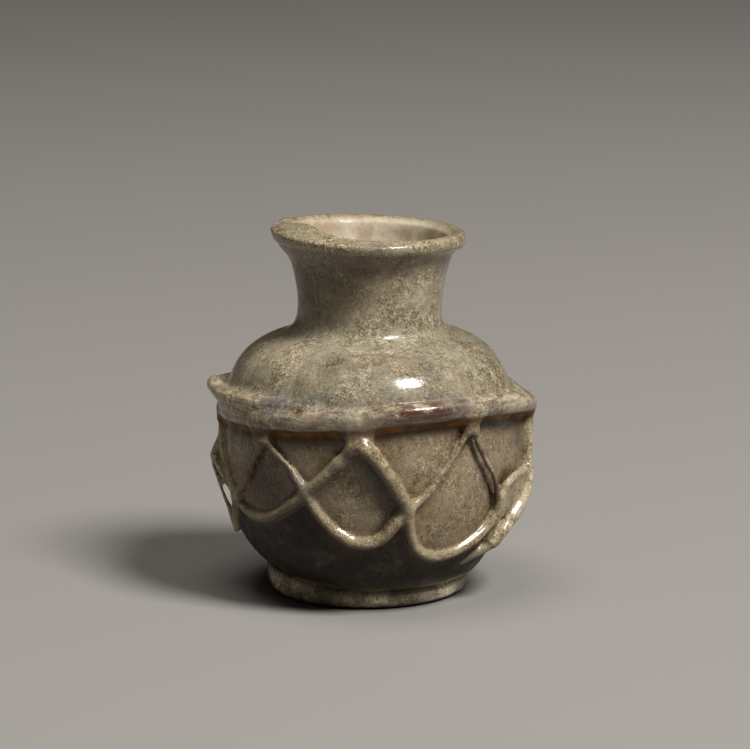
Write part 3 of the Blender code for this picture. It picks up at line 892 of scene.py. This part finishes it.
# painted shadow on the wall below and left of thick strands, cast away from the key light
over_it = places + np.array([2.0, -0.3, 1.6]) * MM
painted_shade = ramp(-sample_field(strands, over_it), -1.0 * MM, 0.7 * MM)
painted_shade *= ramp(-at_threads, 0.0, -0.5 * MM)
painted_shade *= ramp(sample_field(thickness, over_it), 0.75 * MM, 1.1 * MM)
keep_mask("painted_shade", np.maximum(flanks, painted_shade) * outdoors)

# %% [markdown]
# ### Creases, foot, and the wall below the trail
#
# A crease is where the wall and something laid on it are both near. It holds soil, and it gets
# painted shade at the lower left of a strand, away from the key light; where it faces up it gets
# painted light in amber. Right under the trail the wall is bare amber with painted light shining
# through it, and a wider band below it is painted shadow.

# %% Masks of creases, foot and the wall under the trail
laid_on = np.minimum(at_trail, at_threads)
crease = ramp(-(laid_on + np.abs(at_wall)), -1.9 * MM, -0.35 * MM) * outdoors
# painted shade: the crease is darkest at the lower left of a strand, away from the key light
nearer = at_strands - sample_field(strands, places + np.array([0.9, -0.2, 0.8]) * MM)
crease *= 0.35 + 0.65 * ramp(nearer, -0.4 * MM, 0.6 * MM)
facing_up = ramp(facing[:, 2], 0.0, 0.55)
near_thread = ramp(-at_threads, -1.6 * MM, -0.2 * MM)
# the dark crease stays off hollows that face up; those get painted light in amber instead
keep_mask("crease", crease * (1 - facing_up))
keep_mask("painted_light_in_hollows", crease * facing_up * near_thread * (at_height < 34))
keep_mask("foot", ramp(-at_height, -6.0, -3.6) * ramp(at_radius, 18.6 * MM, 19.1 * MM))
drop = on_ring(shelf_ring, at_azimuth, 1) - places[:, 2]
below = ramp(drop, 1.2 * MM, 1.9 * MM) * outdoors * ramp(at_threads, -0.6 * MM, 0.4 * MM)
# bare amber right under the trail with painted light shining through it; then painted shadow
keep_mask("under", below * ramp(-at_trail, -2.0 * MM, -0.7 * MM))
keep_mask("shade", below * ramp(-at_trail, -3.8 * MM, -1.2 * MM))

# %% [markdown]
# ### Below the net
#
# Below the lowest threads the bottle is painted dark, partly dark crust and partly painted shade
# of the lower body. The edge follows the threads, so it is a ring of stations like the others.

# %% Mask of the dark lower body
# azimuth, height
NET = (
    (-86, 13.0), (-75, 14.6), (-65, 20.2), (-56, 18.3), (-46, 17.9), (-35.5, 20.1), (-24.5, 24.2),
    (-20.2, 20.9), (-12.8, 17.0), (-4.5, 14.8), (5.6, 15.9), (15.3, 20.5), (16.5, 15.5),
    (19.8, 13.6), (27.7, 11.2), (40.9, 11.7), (53.9, 12.5), (63, 11.4), (70.8, 15.0), (80, 18.9),
    (90, 22.5), (104, 16.4), (122, 13.7), (153, 21.8), (174, 14.9), (203, 23.0), (229, 13.6),
    (250, 18.0),
)
net_above = on_ring(np.array(NET, float), at_azimuth, 1) - at_height
keep_mask("low", np.maximum(ramp(net_above, -0.2, 2.2), ramp(-at_height, -11.0, -8.0)))

# %% [markdown]
# ### Spots
#
# Violet bloom, bare glass, dusky and pale clouds, matt places and the light lobes on the foot
# are rows of soft ovals: azimuth, height, half width in degrees, half height in millimetres and
# strength. Many of the dusky ones are painted shade and some pale ones painted light; two bare
# ones are painted shade and one violet one a painted sheen.

# %% Masks of spots
SPOTS = {
    # the row at (6, 69.4) on the front of the rim is a painted sheen beside the highlight
    "iris": (
        (6, 69.4, 14, 0.9, 0.5), (-38, 40.3, 9, 2.2, 0.9), (-22, 41.6, 8, 0.9, 0.8),
        (33, 40.3, 10, 1.6, 0.75), (-12, 39.8, 7, 1.8, 0.45), (52, 39.6, 7, 1.8, 0.4),
        (-26, 26.0, 4, 2.2, 0.5), (-20, 67.0, 16, 0.8, 0.7), (120, 38.0, 14, 2.0, 0.6),
        (200, 37.0, 20, 2.0, 0.6),
    ),
    # the rows at (-4, 66.5) under the lip and at (-50, 27.0) beside a strand are painted shade
    "bare": (
        (-78, 71.6, 14, 1.2, 0.9), (6, 69.6, 9, 0.7, 0.35), (20, 40.0, 16, 1.8, 1.3),
        (4, 38.6, 8, 1.4, 0.8), (-4, 35.6, 4, 1.6, 0.5), (-27.5, 39.8, 3.0, 0.5, 1.4),
        (150, 38.5, 10, 1.5, 0.6), (96, 25, 6, 3.0, 0.35), (-4, 66.5, 14, 2.6, 0.6),
        (47, 31.0, 2.2, 2.4, 1.0), (52.5, 27.3, 2.2, 2.4, 1.0), (58, 23.4, 2.2, 2.2, 1.0),
        (-50, 27.0, 3.0, 6.0, 0.5), (10, 28.5, 2.0, 3.0, 0.5),
    ),
    "matt": (
        (19.5, 24.5, 4, 2.2, 1.0), (24, 41.9, 30, 0.9, 1.4), (30, 52.3, 30, 1.2, 0.8),
        (25, 50.3, 28, 1.3, 0.8), (-66, 26, 24, 13.0, 0.9), (-60, 60, 34, 8.0, 0.8),
        (-28, 27.5, 4, 3.0, 0.6), (62, 23, 5, 5.0, 0.3),
    ),
    "lobe": (
        (-66, 2.4, 26, 3.6, 1.0), (4, 1.4, 18, 1.8, 0.8), (56, 2.0, 24, 2.8, 1.0),
        (130, 2.0, 30, 3.0, 0.8), (-140, 2.0, 28, 3.0, 0.8),
    ),
}
for name, rows in SPOTS.items():
    keep_mask(name, spots(rows))

# %% Masks of dusky and pale clouds, partly painted shade and painted light
# most dusky spots are painted shade: under the lip, on the shaded left of neck and body, inside
# the middle diamond and in the pocket on the right; they stay off the strands, and the strands at
# both sides are painted pale as a painted highlight
DUSK_AND_PAINTED_SHADE = (
    (20, 66.8, 34, 1.3, 0.6), (-22, 61, 14, 6.0, 0.5), (-50, 60, 28, 8.0, 0.45),
    (-16, 47.6, 9, 1.6, 0.5), (-31, 43.8, 3, 3.5, 0.5), (30, 47.0, 12, 2.0, 0.3),
    (150, 57, 40, 5.0, 0.6), (200, 45, 30, 4.0, 0.5), (-43, 24, 11, 6.0, 1.3),
    (-3, 24.5, 8, 4.5, 0.35), (-87, 27, 6, 7.0, 1.2), (-1, 30.2, 4, 1.0, 1.0),
    (1.0, 28.2, 3.2, 1.8, 0.8), (3.2, 25.6, 3.0, 2.2, 0.9), (6.5, 22.6, 3.2, 2.4, 0.9),
    (64.5, 14.5, 3, 2.5, 1.3), (69, 17.0, 3.5, 1.5, 1.1), (66.5, 20.5, 3, 1.5, 0.5),
    (81, 30.5, 4, 5.0, 0.8), (-10, 64.5, 50, 1.6, 0.8), (-30, 62, 20, 3.0, 0.7),
)
# pale clouds of lime; on the shaded left of the body, the tail's tip and the right of the neck they
# are painted light
PALE_AND_PAINTED_LIGHT = (
    (-9, 22.5, 6, 4.0, 0.45), (-18, 38.8, 9, 1.8, 0.5), (55, 39.2, 12, 2.2, 0.6),
    (-62, 30, 6, 4.0, 0.4), (-30, 30.5, 4, 1.6, 0.4), (38, 60, 30, 5.5, 1.0),
    (8, 55.5, 22, 2.5, 0.8), (-30, 51, 40, 2.0, 0.5), (-45, 42, 14, 3.0, 0.4),
    (-54, 49, 18, 5.0, 0.5), (25, 31, 8, 3.0, 0.5), (36, 24, 8, 5.0, 0.4),
    (47, 28, 5, 4.0, 0.8), (-90, 40, 13, 3.0, 1.4), (-70, 38.0, 20, 2.4, 0.8),
    (75, 38.5, 16, 2.5, 0.6), (-95, 70, 20, 2.0, 0.5),
)
on_strand = ramp(-at_strands, -0.3 * MM, 0.0)
at_sides = np.maximum(0.7 * ramp(-at_azimuth, 68, 78), ramp(at_azimuth, 62, 66))
keep_mask("dusk_and_painted_shade", spots(DUSK_AND_PAINTED_SHADE) * (1 - on_strand))
keep_mask("pale", np.maximum(spots(PALE_AND_PAINTED_LIGHT), on_strand * (at_height < 35) * at_sides))

# %% [markdown]
# ## The finish: weathered amber glass
#
# Buried soda-lime glass loses its alkali to ground water, and a skin of thin silica layers is
# left. Lime and soil bind into it, so it looks like an olive-beige crust, smooth enough to keep
# a soft gloss. Where the layers are thin they split light and show violet and blue; where they
# have flaked off, the dark amber glass is bare and shines.
#
# The colours are read as sRGB hex values and turned to linear by one function, and one small
# function adds every node. All patterns run on object coordinates in millimetres, so a grain of
# 0.3 mm is written as just that.

# %% Helpers for materials
def linear(hex_colour):
    """Linear RGBA of an sRGB hex colour."""
    values = [int(hex_colour[i:i + 2], 16) / 255 for i in (1, 3, 5)]
    rgb = [v / 12.92 if v <= 0.04045 else ((v + 0.055) / 1.055) ** 2.4 for v in values]
    return (*rgb, 1.0)


def add_node(tree, kind, settings=(), links=()):
    """Add a node, set its properties, then fill its inputs with values or other nodes' outputs."""
    node = tree.nodes.new("ShaderNode" + kind)
    for name, value in dict(settings).items():
        setattr(node, name, value)
    for name, value in dict(links).items():
        if isinstance(value, bpy.types.NodeSocket):
            tree.links.new(value, node.inputs[name])
        else:
            node.inputs[name].default_value = value
    return node


# %% Start the material
glass_finish = bpy.data.materials.new("weathered_amber_glass")
glass_finish.use_nodes = True
tree = glass_finish.node_tree
shader = tree.nodes["Principled BSDF"]
place = add_node(tree, "TexCoord").outputs["Object"]
per_mm = {"operation": "SCALE"}
in_mm = add_node(tree, "VectorMath", per_mm, {0: place, "Scale": 1 / MM}).outputs[0]
mask = {}
for name in kept_masks:
    mask[name] = add_node(tree, "Attribute", {"attribute_name": name}).outputs["Fac"]
print("masks that the finish reads:", len(mask))

# %% [markdown]
# ### Two ways of working
#
# A weathered finish is built up as it grew, one thin layer over the other. Each layer is a tone
# that covers what lies below by the product of a few shares: where it sits, how its blotches
# fade in and out, and how strong it is.
#
# The blotches come from a noise with a real size in millimetres, broken between two levels. A
# narrow gap between the levels gives sharp flakes, and a wide one gives clouds. Each has its own
# shift, so that no two layers share their blotches.

# %% Blotches and layers
PRODUCT = {"operation": "MULTIPLY", "use_clamp": True}
GREATER = {"operation": "MAXIMUM"}
EASED = {"interpolation_type": "SMOOTHSTEP"}


def blotches(size_mm, octaves, raggedness, shift, start=None, end=None, least=0.0, most=1.0):
    """Blotches of about size_mm: least where their noise is below start, most above end.

    Where no start is given, the noise stays as it is, as the relief needs it.
    """
    shifted = {0: in_mm, 1: (shift, shift * 0.7, -shift)}
    spread = {
        "Vector": add_node(tree, "VectorMath", {"operation": "ADD"}, shifted).outputs[0],
        "Scale": 1 / size_mm,
        "Detail": octaves,
        "Roughness": raggedness,
    }
    noise = add_node(tree, "TexNoise", {}, spread).outputs["Fac"]
    if start is None:
        return noise
    levels = {"Value": noise, 1: start, 2: end, 3: least, 4: most}
    return add_node(tree, "MapRange", EASED, levels).outputs[0]


def lay(below, tone, *shares):
    """Lay a tone over the colour below. It covers as much as the product of its shares."""
    cover = shares[0]
    for share in shares[1:]:
        cover = add_node(tree, "Math", PRODUCT, {0: cover, 1: share}).outputs[0]
    colours = [linear(c) if isinstance(c, str) else c for c in (below, tone)]
    mixed = {"data_type": "RGBA", "clamp_factor": True}
    return add_node(tree, "Mix", mixed, {0: cover, 6: colours[0], 7: colours[1]}).outputs[2]


# %% [markdown]
# ### Crust
#
# The crust is pale where lime bound into it and olive where soil did, in clouds of about a
# centimetre, and it is browner on the lower half and on the neck. Small flecks of soil, rust and
# grey lie over the clouds. Below the net the body is nearly black, partly dark crust and partly
# painted shade, and dusky spots add painted shade in many places.

# %% Clouds
crust = lay("#817A66", "#97917C", blotches(9.0, 5.0, 0.62, 0.0, 0.36, 0.64))
crust = lay(crust, "#B9B4A2", blotches(4.5, 5.0, 0.68, 31.0, 0.50, 0.68), 0.45)
crust = lay(crust, "#A58C77", blotches(3.2, 4.0, 0.65, 92.0, 0.50, 0.66), 0.4)
up_in_mm = add_node(tree, "SeparateXYZ", {}, {0: in_mm}).outputs["Z"]
warm = 0.0
# heights in mm between which the brown fades in, and its strength
for start, end, most in ((40.0, 34.0, 1.0), (53.0, 58.0, 0.6)):
    levels = {"Value": up_in_mm, 1: start, 2: end, 3: 0.0, 4: most}
    zone = add_node(tree, "MapRange", EASED, levels).outputs[0]
    warm = add_node(tree, "Math", GREATER, {0: warm, 1: zone}).outputs[0]
crust = lay(crust, "#80653F", warm, 0.5)
print("nodes so far:", len(tree.nodes))

# %% Flecks, the dark lower body and dusky spots, partly painted shade
for tone, strength, fleck in (
    ("#3E3022", 0.5, (0.8, 3.0, 0.7, 25.0, 0.60, 0.70)),
    ("#7E6341", 0.35, (2.4, 4.0, 0.6, 38.0, 0.60, 0.70)),
    ("#5B5A50", 0.5, (3.4, 4.0, 0.6, 83.0, 0.60, 0.70)),
):
    crust = lay(crust, tone, blotches(*fleck), strength)
worn = blotches(3.0, 4.0, 0.6, 57.0, 0.30, 0.50, 0.86, 1.0)
# the body below the net: partly dark crust, partly painted shade
dark_low_and_shade = add_node(tree, "Math", PRODUCT, {0: mask["low"], 1: worn}).outputs[0]
crust = lay(crust, "#18130E", dark_low_and_shade, 0.96)
# dusky spots: dark crust in a few places, painted shade in most
clouded = blotches(2.6, 4.0, 0.66, 44.0, 0.36, 0.58, 0.7)
grainy = blotches(0.5, 3.0, 0.65, 61.0, 0.42, 0.56, 0.62)
crust = lay(crust, "#392A19", mask["dusk_and_painted_shade"], clouded, grainy)
print("nodes so far:", len(tree.nodes))

# %% [markdown]
# ### Soil and painted shade in the creases, rubbed tops
#
# Brown soil stays in the hollow curves beside the threads, with painted shade at the lower left
# of a strand and painted light in amber where the hollows face up. The foot has pale lobes of
# lime. The tops of threads, trail and rim are rubbed and paler, with coarser speckle, and the
# trail shows the streaks of the glass that was drawn out into it: they are about 5 mm long and
# less than 1 mm high.

# %% Creases, foot and rubbed tops
# soil in the creases, with painted shade at the lower left of the strands
soil = blotches(1.2, 3.0, 0.6, 5.0, 0.30, 0.58, 0.3)
colour = lay(crust, "#3A2614", mask["crease"], soil, 0.9)
# painted light: warm amber in hollows that face up
colour = lay(colour, "#7A5B35", mask["painted_light_in_hollows"], 0.55)
lobed = blotches(5.0, 4.0, 0.62, 15.0, 0.38, 0.52, 0.4)
foot_crust = lay("#4B3D2B", "#F0E6CB", mask["lobe"], lobed)
colour = lay(colour, foot_crust, mask["foot"])
raised = mask["rim"]
for name in ("trail", "thread"):
    raised = add_node(tree, "Math", GREATER, {0: raised, 1: mask[name]}).outputs[0]
coarse = blotches(0.6, 3.0, 0.65, 77.0, 0.50, 0.64)
colour = lay(colour, lay("#B0A58A", "#5A4B35", coarse, 0.35), raised, 0.5)
speckle = blotches(0.38, 3.0, 0.6, 52.0, 0.46, 0.62)
colour = lay(colour, lay("#A9A188", "#54422C", speckle, 0.85), mask["rim"], 0.8)
print("nodes so far:", len(tree.nodes))

# %% Streaks of the trail, pale clouds partly painted light, painted shade beside the threads
STREAKS_PER_MM = (0.2, 0.2, 1.4)
drawn = {0: in_mm, 1: STREAKS_PER_MM}
drawn_out = add_node(tree, "VectorMath", {"operation": "MULTIPLY"}, drawn).outputs[0]
fibres = {"Vector": drawn_out, "Scale": 1.0, "Detail": 4.0, "Roughness": 0.6}
streaks = add_node(tree, "TexNoise", {}, fibres).outputs["Fac"]
for tone, strength, start, end in (("#5A423C", 0.72, 0.46, 0.62), ("#BDB49D", 0.45, 0.50, 0.40)):
    levels = {"Value": streaks, 1: start, 2: end, 3: 0.0, 4: 1.0}
    streak = add_node(tree, "MapRange", EASED, levels).outputs[0]
    colour = lay(colour, tone, mask["trail"], streak, strength)
# pale clouds, partly lime and partly painted light
pale_blotches = blotches(2.2, 4.0, 0.66, 33.0, 0.36, 0.60, 0.4)
colour = lay(colour, "#C4B9A0", mask["pale"], pale_blotches, 0.72)
# painted shade and painted shadow beside the threads
colour = lay(colour, "#3B2B1C", mask["painted_shade"], 0.8)
print("nodes so far:", len(tree.nodes))

# %% [markdown]
# ### Grit
#
# All over lies a fine grit of lime and soil, light on dark and dark on light. It is thick in some
# patches and thin in others. The real grains are near 0.2 mm, as small as a pixel, so the finest
# are drawn at 0.3 mm and the coarser ones stand for clumps. Grit changes the tone below it, so
# it is multiplied in: its two values are factors and no colours.

# %% Grit
UNCHANGED = (1.0, 1.0, 1.0, 1.0)
gritty = blotches(5.0, 4.0, 0.6, 71.0, 0.42, 0.58, 0.4)
for size_mm, octaves, strength in ((1.7, 4.0, 0.85), (0.8, 4.0, 1.0), (0.3, 3.0, 1.9)):
    lighter = (1.0 + 0.2 * strength,) * 3 + (1.0,)
    darker = tuple(1.0 - loss * strength for loss in (0.27, 0.29, 0.32)) + (1.0,)
    grit = lay(lighter, darker, blotches(size_mm, octaves, 0.65, 12.0, 0.38, 0.62))
    grit = lay(UNCHANGED, grit, gritty)
    tinted = {0: colour, 1: grit}
    colour = add_node(tree, "VectorMath", {"operation": "MULTIPLY"}, tinted).outputs[0]
print("nodes so far:", len(tree.nodes))

# %% [markdown]
# ### Amber glass, violet bloom and the lining
#
# Under the trail the crust never formed and the bare amber shows, with painted light shining gold
# through it right below the trail and a band of painted shadow under that. Violet bloom and bare
# glass are ragged and shiny, so their shares are kept for the gloss as well. The lining of the
# neck is mottled and clean of soil.

# %% Amber, bloom and lining
# painted shadow on the wall below the trail
colour = lay(colour, "#3A210B", mask["shade"], 0.8)
# painted light: gold where the amber right under the trail is lit through
levels = {"Value": mask["under"], 1: 0.2, 2: 0.9, 3: 0.0, 4: 1.0}
lit_through = add_node(tree, "MapRange", EASED, levels).outputs[0]
uneven = blotches(3.5, 3.0, 0.6, 3.0, 0.38, 0.60, 0.2, 0.85)
amber = lay("#38200C", "#85571F", lit_through, uneven)
colour = lay(colour, amber, mask["under"], 0.92)
bloom_tone = lay("#5E5262", "#454F5C", blotches(2.2, 3.0, 0.6, 9.0, 0.42, 0.60))
shiny = 0.0
for name, tone, strength, ragged in (
    ("iris", bloom_tone, 0.85, (1.4, 4.0, 0.7, 21.0, 0.34, 0.56)),
    ("bare", "#4E3023", 0.9, (2.6, 4.0, 0.7, 46.0, 0.34, 0.54)),
):
    flaked = add_node(tree, "Math", PRODUCT, {0: mask[name], 1: blotches(*ragged)}).outputs[0]
    colour = lay(colour, tone, flaked, strength)
    shiny = add_node(tree, "Math", GREATER, {0: shiny, 1: flaked}).outputs[0]
lining = lay("#A89780", "#C2B9A4", blotches(4.2, 4.0, 0.6, 70.0, 0.36, 0.66))
lining = lay(lining, "#7A6448", coarse, 0.2)
colour = lay(colour, lining, mask["inside"])
print("nodes so far:", len(tree.nodes))

# %% [markdown]
# ### Gloss and relief
#
# The crust itself is half dull, and bare glass and bloom are smooth. Over it the silica skin
# gives a thin clear gloss, which the shader has as its coat. The dark lower body, creases,
# lining, the amber and the painted shadow under the trail have lost it.
#
# Two low reliefs roughen the surface: a fine one of 0.7 mm for the crust, and a broad one of
# 4 mm over it that only the clear skin follows. The IOR is that of soda-lime glass, and nothing
# here is metal.

# %% Gloss
dull = blotches(3.0, 4.0, 0.65, 17.0, 0.35, 0.65, 0.42, 0.62)
SMOOTH_GLASS = 0.14
smoothed = {0: shiny, 2: dull, 3: SMOOTH_GLASS}
rough = add_node(tree, "Mix", {"data_type": "FLOAT"}, smoothed).outputs[0]
levels = {"Value": mask["thread"], 1: 0.2, 2: 0.8, 3: 1.0, 4: 0.1}
off_thread = add_node(tree, "MapRange", EASED, levels).outputs[0]
dry = add_node(tree, "Math", PRODUCT, {0: dark_low_and_shade, 1: off_thread}).outputs[0]
for name, dryness in (
    ("shade", 1.0), ("under", 1.0), ("matt", 1.0),
    ("crease", 0.8), ("inside", 0.8), ("thread", 0.2),
):
    share = add_node(tree, "Math", PRODUCT, {0: mask[name], 1: dryness}).outputs[0]
    dry = add_node(tree, "Math", GREATER, {0: dry, 1: share}).outputs[0]
clear_skin = add_node(tree, "MapRange", {}, {"Value": dry, 3: 0.7, 4: 0.0}).outputs[0]
print("nodes so far:", len(tree.nodes))

# %% Relief
relief = []
# depth in mm, strength, then size in mm, octaves, raggedness and shift
for depth, strength, grain in (
    (0.08, 0.4, (0.7, 4.0, 0.6, 90.0)), (0.2, 0.12, (4.0, 2.0, 0.5, 64.0)),
):
    bumps = {"Strength": strength, "Distance": depth * MM, "Height": blotches(*grain)}
    if relief:
        bumps["Normal"] = relief[-1]
    relief.append(add_node(tree, "Bump", {}, bumps).outputs[0])
print("reliefs:", len(relief))

# %% Join it to the shader
for name, output in (
    ("Base Color", colour), ("Roughness", rough), ("Normal", relief[0]),
    ("Coat Weight", clear_skin), ("Coat Normal", relief[1]),
):
    tree.links.new(output, shader.inputs[name])
for name, value in (
    ("IOR", 1.5), ("Specular IOR Level", 0.3), ("Coat Roughness", 0.08), ("Metallic", 0.0),
):
    shader.inputs[name].default_value = value
bottle.data.materials.append(glass_finish)
print("nodes in the finish:", len(tree.nodes))

# %% Put the bottle in the frame
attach(bottle, "root")
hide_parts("bottle")

# %% [markdown]
# ## Floor and light
#
# The floor is a pale matt sheet that runs far behind the bottle. One soft box at the upper right
# in front is the key: the highlights on shoulder, rim and trail all point back to it. A weak
# wide light from above and the pale surround keep the shaded side readable.

# %% Floor
FLOOR_REACH = 4.0
corners = [(side_x * FLOOR_REACH, side_y * FLOOR_REACH, 0)
           for side_x, side_y in ((-1, -1), (1, -1), (1, 1), (-1, 1))]
floor_mesh = bpy.data.meshes.new("floor")
floor_mesh.from_pydata(corners, [], [(0, 1, 2, 3)])
floor = bpy.data.objects.new("floor", floor_mesh)
bpy.context.scene.collection.objects.link(floor)
paper = bpy.data.materials.new("matt_pale_paper")
paper.use_nodes = True
paper_shader = paper.node_tree.nodes["Principled BSDF"]
paper_shader.inputs["Base Color"].default_value = linear("#8C8A87")
paper_shader.inputs["Roughness"].default_value = 0.9
floor_mesh.materials.append(paper)
print("floor's side, m:", 2 * FLOOR_REACH)


# %% Lights
def soft_box(name, at, elevation, distance, width, power, colour):
    """A round soft light at an azimuth and elevation from the bottle, facing it."""
    data = bpy.data.lights.new(name, "AREA")
    data.shape = "DISK"
    data.size = width
    data.energy = power
    data.color = linear(colour)[:3]
    lamp = bpy.data.objects.new(name, data)
    a, e = math.radians(at), math.radians(elevation)
    lamp.location = (
        distance * math.sin(a) * math.cos(e),
        -distance * math.cos(a) * math.cos(e),
        distance * math.sin(e) + 35 * MM,
    )
    lamp.rotation_euler = (math.pi / 2 - e, 0.0, a)
    bpy.context.scene.collection.objects.link(lamp)
    return lamp


soft_box("key", 49.5, 54.0, 1.60, 0.50, 34.5, "#FFFBF6")
overhead = soft_box("overhead", -60.0, 82.0, 1.80, 1.00, 12.5, "#FFFAF2")
overhead.visible_glossy = False
world = bpy.data.worlds.new("pale_surround")
world.use_nodes = True
background = world.node_tree.nodes["Background"]
background.inputs["Color"].default_value = linear("#F2E9DC")
background.inputs["Strength"].default_value = 0.03
bpy.context.scene.world = world
bpy.context.scene.view_settings.view_transform = "Standard"
